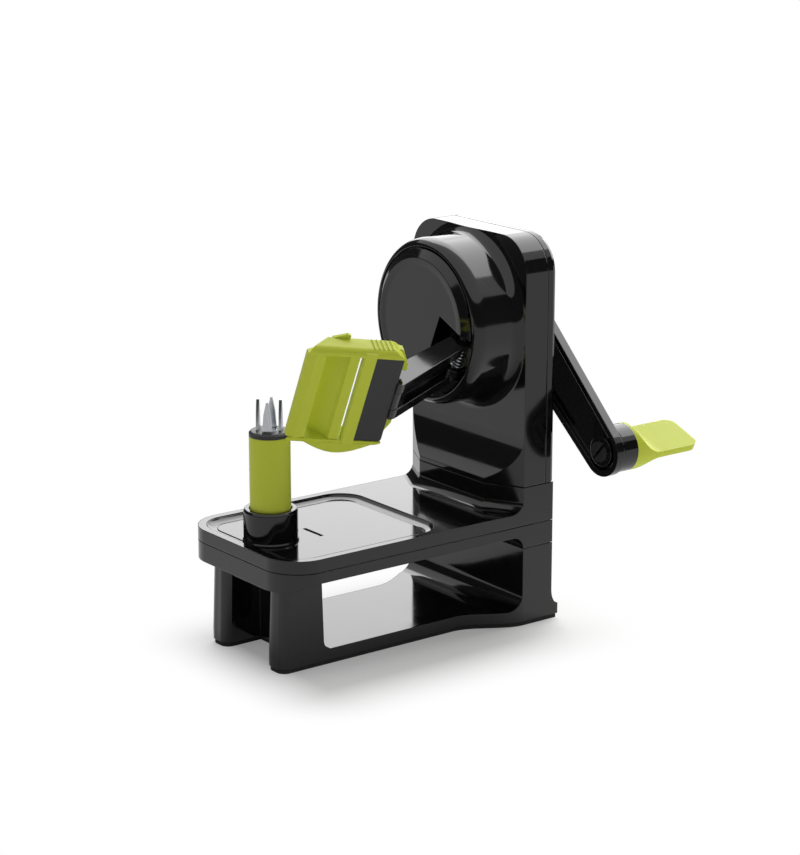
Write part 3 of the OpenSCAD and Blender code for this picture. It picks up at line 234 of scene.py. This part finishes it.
def plane_groups(work):
    """Which plane each face belongs to, and each plane's direction and whether it is broad."""
    plane, planes = {}, []
    for first in sorted(work.faces, key=lambda f: -f.calc_area()):
        if first in plane:
            continue
        members, heading = [first], first.normal.copy()
        plane[first] = len(planes)
        for face in members:
            for edge in face.edges:
                for other in edge.link_faces:
                    alike = other.normal.dot(heading) > FLAT or other.calc_area() < SPECK
                    if other not in plane and alike:
                        plane[other] = len(planes)
                        members.append(other)
        corners = [v.co for f in members for v in f.verts]
        reach = max((c - corners[0]).length for c in corners)
        area = sum(f.calc_area() for f in members)
        planes.append((heading, area > BROAD * MM * reach))
    return plane, planes


def corner_direction(corner, plane, planes):
    """The way the skin faces at a face's corner."""
    face = corner.face
    heading, broad = planes[plane[face]]
    if broad:
        return heading
    met, queue = {face}, [face]
    for here in queue:
        for edge in here.edges:
            if corner.vert in edge.verts:
                for other in edge.link_faces:
                    turn = planes[plane[other]][0].angle(planes[plane[here]][0])
                    if other not in met and turn < CREASE:
                        met.add(other)
                        queue.append(other)
    around = {plane[f] for f in met}
    flats = [planes[i][0] for i in around if planes[i][1] and planes[i][0].angle(heading) < CREASE]
    chosen = flats or [planes[i][0] for i in around]
    return sum(chosen, Vector()).normalized()


def moulding(node, cuts=()):
    """The node's own shape with its rounds shaded as one smooth skin, as a polished tool leaves them. Broad flats
    stay flat to their edges, and a round that runs into one takes its direction there."""
    mesh = NODES[node].data.copy()
    piece = new_piece(node + "_skin", mesh)
    work = bmesh.new()
    work.from_mesh(mesh)
    bmesh.ops.remove_doubles(work, verts=work.verts, dist=WELD)
    bmesh.ops.dissolve_degenerate(work, edges=work.edges, dist=SLIVER)
    if node == "stand":
        # The legs grow out of the floor plate without the ledge of the solid.
        near = [v for v in work.verts if abs(v.co.z - LEDGE_Z * MM) < 0.01 * MM and v.co.y < LEDGE_Y * MM]
        bmesh.ops.remove_doubles(work, verts=near, dist=LEDGE_W * MM)
    if cuts:
        work.to_mesh(mesh)
        work.free()
        cut_away(piece, cuts)
        mesh = piece.data
        work = bmesh.new()
        work.from_mesh(mesh)
        bmesh.ops.remove_doubles(work, verts=work.verts, dist=WELD)
    work.normal_update()
    work.faces.ensure_lookup_table()
    plane, planes = plane_groups(work)
    normals = [corner_direction(corner, plane, planes) for face in work.faces for corner in face.loops]
    work.to_mesh(mesh)
    work.free()
    mesh.shade_smooth()
    mesh.normals_split_custom_set(normals)
    piece.name = mesh.name = node + "_skin"
    return keep(piece, BODY[node], finish_of(node), SLOT[node], node)


SMOOTH = ["rubber_sole", "stand", "base_pan", "base_cover", "spindle_collar", "tower_front", "tower_back",
          "arm_carrier", "blade_arm", "head_carrier", "blade_cartridge", "spindle_tube", "fork_hub",
          "fork_prongs", "crank_arm", "hub_cap", "grip_sleeve", "grip_paddle", "arm_pin", "peeling_blade",
          "tower_screws", "crank_screw"]
# The blade head's frame in millimetres and degrees: the drum's axis and its turn at rest, then the head's place
# and turn on it. X points out of its face, Y from the guide bar to the arm.
DRUM_Z, DRUM_TURN = 130.9, 24
HEAD_X, HEAD_Y, HEAD_TURN = 33.6, -54.9, -20
HEAD = (Matrix.Translation((0, 0, DRUM_Z * MM)) @ Matrix.Rotation(math.radians(DRUM_TURN), 4, "Y")
        @ Matrix.Translation((HEAD_X * MM, HEAD_Y * MM, 0)) @ Matrix.Rotation(math.radians(HEAD_TURN), 4, "Z"))
# The rails end in a slant in front: the outline of what is missing there, and the heights of a rail.
SLANT = [(1.0, -3.94), (-14.0, 11.6), (-14.0, -6.0), (1.0, -6.0)]
RAIL_IN, RAIL_OUT = 20.45, 27.0
CUTS = {"blade_cartridge": [(HEAD, SLANT, RAIL_IN, RAIL_OUT), (HEAD, SLANT, -RAIL_OUT, -RAIL_IN)]}
for node in SMOOTH:
    moulding(node, CUTS.get(node, ()))


def shape_tree(name, inputs, result):
    """A tree for a shape, with named inputs and one result."""
    tree = bpy.data.node_groups.new(name, "GeometryNodeTree")
    for label, kind in inputs.items():
        tree.interface.new_socket(name=label, in_out="INPUT", socket_type="NodeSocket" + kind)
    tree.interface.new_socket(name=result, in_out="OUTPUT", socket_type="NodeSocketGeometry")
    return tree, add(tree, "NodeGroupInput").outputs


def dress(tree, shape, finish):
    """Ends a tree: the shape as one real mesh in its finish."""
    whole = add(tree, "GeometryNodeRealizeInstances", {0: shape})
    dressed = add(tree, "GeometryNodeSetMaterial", {0: whole.outputs[0], "Material": finish})
    add(tree, "NodeGroupOutput", {0: dressed.outputs[0]})
    return tree


def shaped(name, tree, values):
    """The piece that a tree makes from the given inputs, as plain mesh."""
    piece = new_piece(name, bpy.data.meshes.new(name))
    shaping = piece.modifiers.new(name, "NODES")
    shaping.node_group = tree
    for socket in tree.interface.items_tree:
        if socket.in_out == "INPUT":
            shaping[socket.identifier] = values[socket.name]
    return settled(piece, name)


def coil_tree():
    """A wire wound into a coil about Z."""
    tree, given = shape_tree("wound_coil", {"Coil Radius": "Float", "Wire Radius": "Float", "Length": "Float",
                                            "Turns": "Float", "Finish": "Material"}, "Coil")
    path = add(tree, "GeometryNodeCurveSpiral",
               {"Rotations": given["Turns"], "Start Radius": given["Coil Radius"],
                "End Radius": given["Coil Radius"], "Height": given["Length"]}, Resolution=32)
    wire = add(tree, "GeometryNodeCurvePrimitiveCircle", {"Radius": given["Wire Radius"]}, Resolution=12)
    tube = add(tree, "GeometryNodeCurveToMesh", {"Curve": path.outputs[0], "Profile Curve": wire.outputs[0]},
               Fill_Caps=True)
    smooth = add(tree, "GeometryNodeSetShadeSmooth", {0: tube.outputs[0]})
    return dress(tree, smooth.outputs[0], given["Finish"])


def wound_spring():
    """The arm's torsion spring as round wire, on the hinge's line and inside the solid it stands for."""
    solid = NODES["arm_spring"].data
    hinge = next(j for j in RECORD["behaviour"]["joints"] if j["name"] == "arm_swing")
    axis = Vector(hinge["axis"]).normalized()
    middle = sum((v.co for v in solid.vertices), Vector()) / len(solid.vertices)
    along = [(v.co - middle).dot(axis) for v in solid.vertices]
    wire_r, coil_r, turns = 0.45 * MM, 2.75 * MM, 7.0
    length = max(along) - min(along) - 2.1 * wire_r
    piece = shaped("arm_spring_wire", coil_tree(), {"Coil Radius": coil_r, "Wire Radius": wire_r,
                                                    "Length": length, "Turns": turns, "Finish": plated_wire})
    turn = axis.to_track_quat("Z", "Y").to_matrix().to_4x4()
    piece.data.transform(Matrix.Translation(middle) @ turn @ Matrix.Translation((0, 0, -length / 2)))
    return keep(piece, BODY["arm_spring"], None, SLOT["arm_spring"], "arm_spring")


wound_spring()


def cove_tree():
    """A profile swept round a rectangle with rounded corners."""
    tree, given = shape_tree("swept_cove", {"Width": "Float", "Length": "Float", "Corner": "Float",
                                            "Profile": "Object", "Finish": "Material"}, "Cove")
    square = add(tree, "GeometryNodeCurvePrimitiveQuadrilateral",
                 {"Width": given["Width"], "Height": given["Length"]})
    path = add(tree, "GeometryNodeFilletCurve", {"Curve": square.outputs[0], "Radius": given["Corner"]},
               mode="POLY", Count=16)
    shape = add(tree, "GeometryNodeObjectInfo", {"Object": given["Profile"]})
    swept = add(tree, "GeometryNodeCurveToMesh",
                {"Curve": path.outputs[0], "Profile Curve": shape.outputs["Geometry"]})
    return dress(tree, swept.outputs[0], given["Finish"])


def cove_profile(wide):
    """Section of the cove: level beside the tray, then rising in a quarter wave to the rim."""
    rise, low, bottom, into, steps = 1.75, 48.95, 48.42, 0.05, 10
    outline = [(-into, bottom), (-into, low)]
    for i in range(steps + 1):
        angle = math.pi / 2 * i / steps
        outline.append((wide * math.sin(angle), low + rise * (1 - math.cos(angle))))
    outline += [(wide + into, low + rise), (wide + into, bottom)]
    line = bpy.data.curves.new("cove_profile", "CURVE")
    spline = line.splines.new("POLY")
    spline.points.add(len(outline) - 1)
    for point, (u, z) in zip(spline.points, outline):
        point.co = ((u - wide / 2) * MM, -z * MM, 0, 1)
    spline.use_cyclic_u = True
    return new_piece("cove_profile", line)


def drip_cove():
    """The hollow floor of the drip channel, round the tray along the middle of the channel."""
    channel_w, path_w, path_len, path_corner, middle_y = 4.6, 66.2, 74.4, 10.1, -26.2
    profile = cove_profile(channel_w)
    piece = shaped("drip_cove", cove_tree(), {"Width": path_w * MM, "Length": path_len * MM,
                                              "Corner": path_corner * MM, "Profile": profile,
                                              "Finish": polished_black})
    line = profile.data
    bpy.data.objects.remove(profile)
    bpy.data.curves.remove(line)
    work = bmesh.new()
    work.from_mesh(piece.data)
    bmesh.ops.translate(work, verts=work.verts, vec=(0, middle_y * MM, 0))
    bmesh.ops.remove_doubles(work, verts=work.verts, dist=WELD)
    bmesh.ops.recalc_face_normals(work, faces=work.faces)
    work.to_mesh(piece.data)
    work.free()
    piece.data.shade_smooth()
    piece.data.set_sharp_from_angle(angle=math.radians(30))
    return keep(piece, BODY["base_cover"], None, SLOT["base_cover"])


drip_cove()


def white_backdrop():
    """White for the camera, for reflections and for see-through pieces, and a soft fill on what it lights."""
    fill = 0.36
    world = bpy.data.worlds.new("studio")
    bpy.context.scene.world = world
    world.use_nodes = True
    tree = world.node_tree
    tree.nodes.clear()
    path = add(tree, "ShaderNodeLightPath").outputs
    seen = add(tree, "ShaderNodeMath", {0: path["Is Camera Ray"], 1: path["Is Glossy Ray"]}, operation="MAXIMUM")
    seen = add(tree, "ShaderNodeMath", {0: seen.outputs[0], 1: path["Is Transmission Ray"]}, operation="MAXIMUM")
    level = add(tree, "ShaderNodeMapRange", {0: seen.outputs[0]}, _3=fill, _4=1.0)
    sky = add(tree, "ShaderNodeBackground", {"Strength": level.outputs[0]}, Color=(1, 1, 1, 1))
    add(tree, "ShaderNodeOutputWorld", {0: sky.outputs[0]})


def fade(tree, distance, near, far):
    """Rises smoothly from 0 to 1 between two distances."""
    return add(tree, "ShaderNodeMapRange", {0: distance}, interpolation_type="SMOOTHSTEP",
               _1=near, _2=far).outputs[0]


def paper_floor():
    """Matt white paper: it takes the object's soft shadow and fades to the white of the backdrop away from it.
    The camera sees it fade close by, reflections farther off and not quite to white."""
    reach, mirrored_white = 12, 0.75
    foot_middle, foot_half = (0.012, 0.003, 0), (0.039, 0.061, 1.0)
    mesh = bpy.data.meshes.new("floor")
    mesh.from_pydata([(-reach, -reach, 0), (reach, -reach, 0), (reach, reach, 0), (-reach, reach, 0)], [],
                     [(0, 1, 2, 3)])
    floor = new_piece("floor", mesh)
    paper, tree, shader, place = new_material("matt_white_paper")
    shader.inputs["Base Color"].default_value = linear("#f7f7f6")
    shader.inputs["Roughness"].default_value = 0.9
    shader.inputs["Specular IOR Level"].default_value = 0.0
    # Distance from the footprint, which lies a little towards the side that the shadow falls on.
    beyond = add(tree, "ShaderNodeVectorMath", {0: place}, operation="SUBTRACT", _1=foot_middle).outputs[0]
    beyond = add(tree, "ShaderNodeVectorMath", {0: beyond}, operation="ABSOLUTE").outputs[0]
    beyond = add(tree, "ShaderNodeVectorMath", {0: beyond}, operation="SUBTRACT", _1=foot_half).outputs[0]
    beyond = add(tree, "ShaderNodeVectorMath", {0: beyond}, operation="MAXIMUM", _1=(0, 0, 0)).outputs[0]
    away = add(tree, "ShaderNodeVectorMath", {0: beyond}, operation="LENGTH").outputs["Value"]
    path = add(tree, "ShaderNodeLightPath").outputs
    seen = add(tree, "ShaderNodeMath", {0: path["Is Camera Ray"], 1: fade(tree, away, -0.015, 0.04)},
               operation="MULTIPLY")
    mirrored = add(tree, "ShaderNodeMath", {0: path["Is Glossy Ray"], 1: path["Is Transmission Ray"]},
                   operation="MAXIMUM")
    mirrored = add(tree, "ShaderNodeMath", {0: mirrored.outputs[0], 1: fade(tree, away, -0.1, 0.32)},
                   operation="MULTIPLY")
    share = add(tree, "ShaderNodeMath", {0: seen.outputs[0], 1: mirrored.outputs[0]}, operation="MAXIMUM")
    level = add(tree, "ShaderNodeMapRange", {0: path["Is Camera Ray"]}, _3=mirrored_white, _4=1.0)
    glow = add(tree, "ShaderNodeEmission", {"Strength": level.outputs[0]}, Color=(1, 1, 1, 1))
    mixed = add(tree, "ShaderNodeMixShader", {0: share.outputs[0], 1: shader.outputs[0], 2: glow.outputs[0]})
    output = next(n for n in tree.nodes if n.type == "OUTPUT_MATERIAL")
    tree.links.new(mixed.outputs[0], output.inputs[0])
    mesh.materials.append(paper)


def grey_walls():
    """Grey painted walls round the set, which only reflections see: they give glossy black its dark bands."""
    steps, radius, foot, top = 48, 2.6, 0.01, 1.5
    angles = [2 * math.pi * i / steps for i in range(steps)]
    ring = [(radius * math.cos(a), radius * math.sin(a)) for a in angles]
    mesh = bpy.data.meshes.new("walls")
    mesh.from_pydata([(x, y, foot) for x, y in ring] + [(x, y, top) for x, y in ring], [],
                     [(i, i + steps, (i + 1) % steps + steps, (i + 1) % steps) for i in range(steps)])
    walls = new_piece("walls", mesh)
    paint, _, shader, _ = new_material("grey_wall_paint")
    shader.inputs["Base Color"].default_value = linear("#565656")
    shader.inputs["Roughness"].default_value = 0.9
    mesh.materials.append(paint)
    walls.visible_camera = walls.visible_diffuse = walls.visible_shadow = walls.visible_transmission = False


def large_softbox():
    """One very large soft light behind and above, which the tray and the tower's top mirror."""
    place, aim = Vector((-0.42, 0.85, 0.80)), Vector((0, 0, 0.1))
    width, height, radiance = 1.9, 1.4, 2.9
    lamp = bpy.data.lights.new("large_softbox", "AREA")
    lamp.shape = "RECTANGLE"
    lamp.size, lamp.size_y = width, height
    lamp.energy = radiance * width * height * math.pi
    box = new_piece("large_softbox", lamp)
    box.location = place
    box.rotation_euler = (aim - place).to_track_quat("-Z", "Y").to_euler()
    box.visible_camera = False


def photo_camera():
    """Camera of the photograph: azimuth, elevation and focal length from a fit to the base and the tower."""
    azimuth, elevation = math.radians(52.82), math.radians(14.95)
    lens = bpy.data.cameras.new("photo_camera")
    lens.sensor_width = 36
    lens.lens = 107.9
    lens.clip_start = 0.05
    camera = new_piece("photo_camera", lens)
    camera.location = (0.8430, -0.6232, 0.3691)
    look = Vector((-math.sin(azimuth) * math.cos(elevation), math.cos(azimuth) * math.cos(elevation),
                   -math.sin(elevation)))
    camera.rotation_euler = look.to_track_quat("-Z", "Y").to_euler()
    bpy.context.scene.camera = camera


bpy.context.scene.view_settings.view_transform = "Standard"
white_backdrop()
paper_floor()
grey_walls()
large_softbox()
photo_camera()
